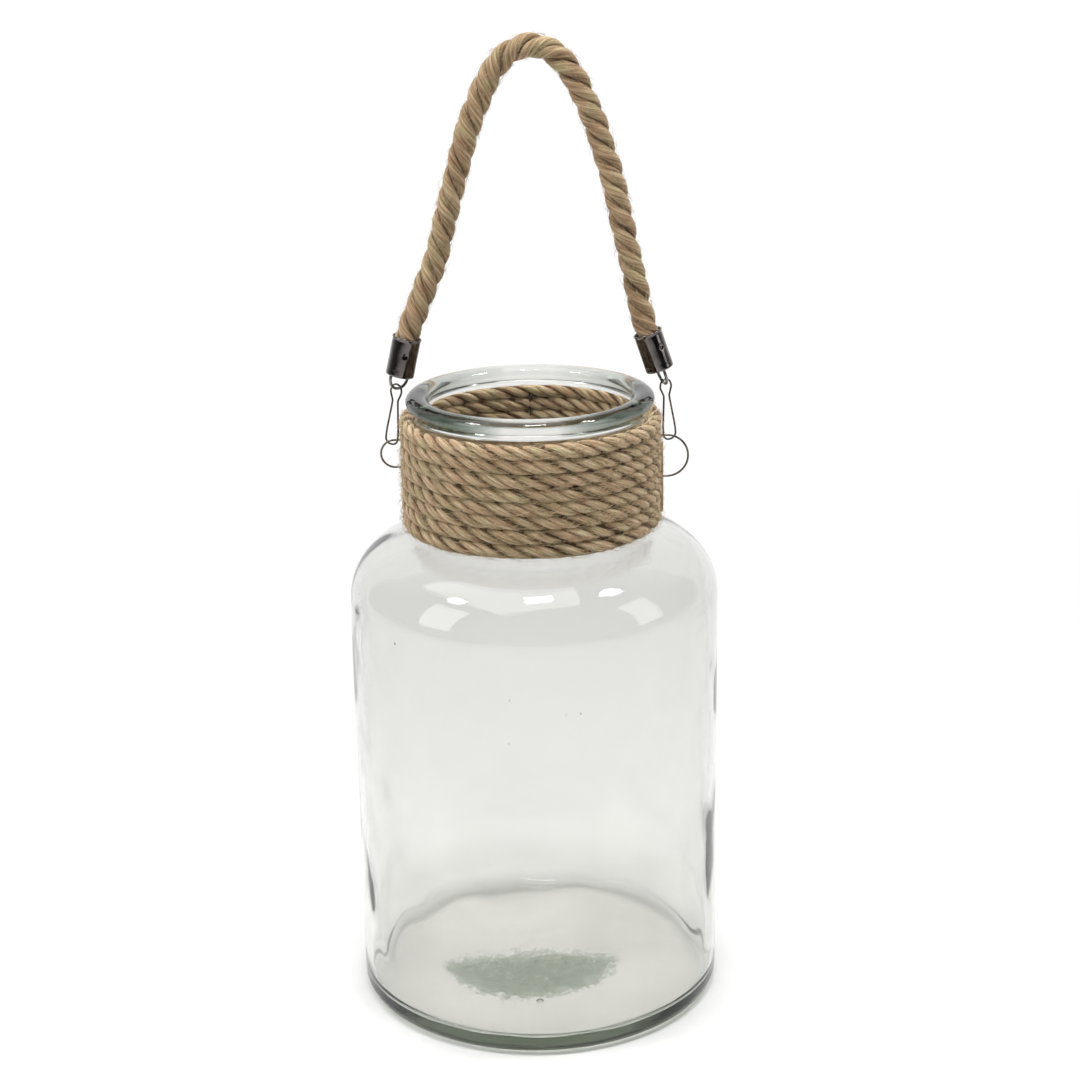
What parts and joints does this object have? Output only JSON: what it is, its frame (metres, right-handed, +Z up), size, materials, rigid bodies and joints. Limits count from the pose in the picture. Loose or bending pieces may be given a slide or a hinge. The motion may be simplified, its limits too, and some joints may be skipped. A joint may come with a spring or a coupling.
{
  "type": "hanging lantern",
  "caption": "Tall glass lantern jar with a cord-bound neck and a rope bail that swings on wire links at both sides.",
  "frame": {"origin": "middle of the jar's base, on the surface it stands on", "axes": "+Z up; +X across the bail, towards the side with the round ear; -Y is the front"},
  "size_m": [0.176, 0.176, 0.4638],
  "materials": {
    "jar_glass": "clear hand-blown glass, faint green-grey",
    "band_wire": "dull dark steel wire",
    "ear_wire": "dark steel wire",
    "jute": "three-strand jute cord",
    "jute_pale": "opened pale jute fibres",
    "glue": "amber glue",
    "link_wire": "dark steel wire",
    "eye_wire": "bright steel wire",
    "ferrule_chrome": "polished nickel-chrome",
    "rope": "three-strand jute rope"
  },
  "bodies": {
    "jar": {"glass_jar": "jar_glass", "neck_wire": "band_wire", "ear_left": "ear_wire", "ear_right": "ear_wire", "neck_cord": "jute", "cord_tail": "jute_pale", "cord_stub": "jute_pale", "glue_dab_upper": "glue", "glue_dab_lower": "glue"},
    "left_link": {"link_left": "link_wire"},
    "right_link": {"link_right": "link_wire"},
    "bail": {"eye_left": "eye_wire", "eye_right": "eye_wire", "ferrule_left": "ferrule_chrome", "ferrule_right": "ferrule_chrome", "handle_rope": "rope"}
  },
  "joints": [
    {"name": "link_left_swing", "type": "hinge", "parent": "jar", "child": "left_link", "pos_m": [-0.0656, 0, 0.2774], "axis": [1, 0, 0], "range_deg": [-30, 30]},
    {"name": "link_right_swing", "type": "hinge", "parent": "jar", "child": "right_link", "pos_m": [0.0655, 0, 0.2774], "axis": [1, 0, 0], "range_deg": [-30, 30]},
    {"name": "bail_swing", "type": "hinge", "parent": "left_link", "child": "bail", "pos_m": [-0.062, 0, 0.3043], "axis": [1, 0, 0], "range_deg": [-35, 35]}
  ],
  "couplings": [
    {"joint": "link_right_swing", "follows": "link_left_swing", "ratio": 1}
  ]
}
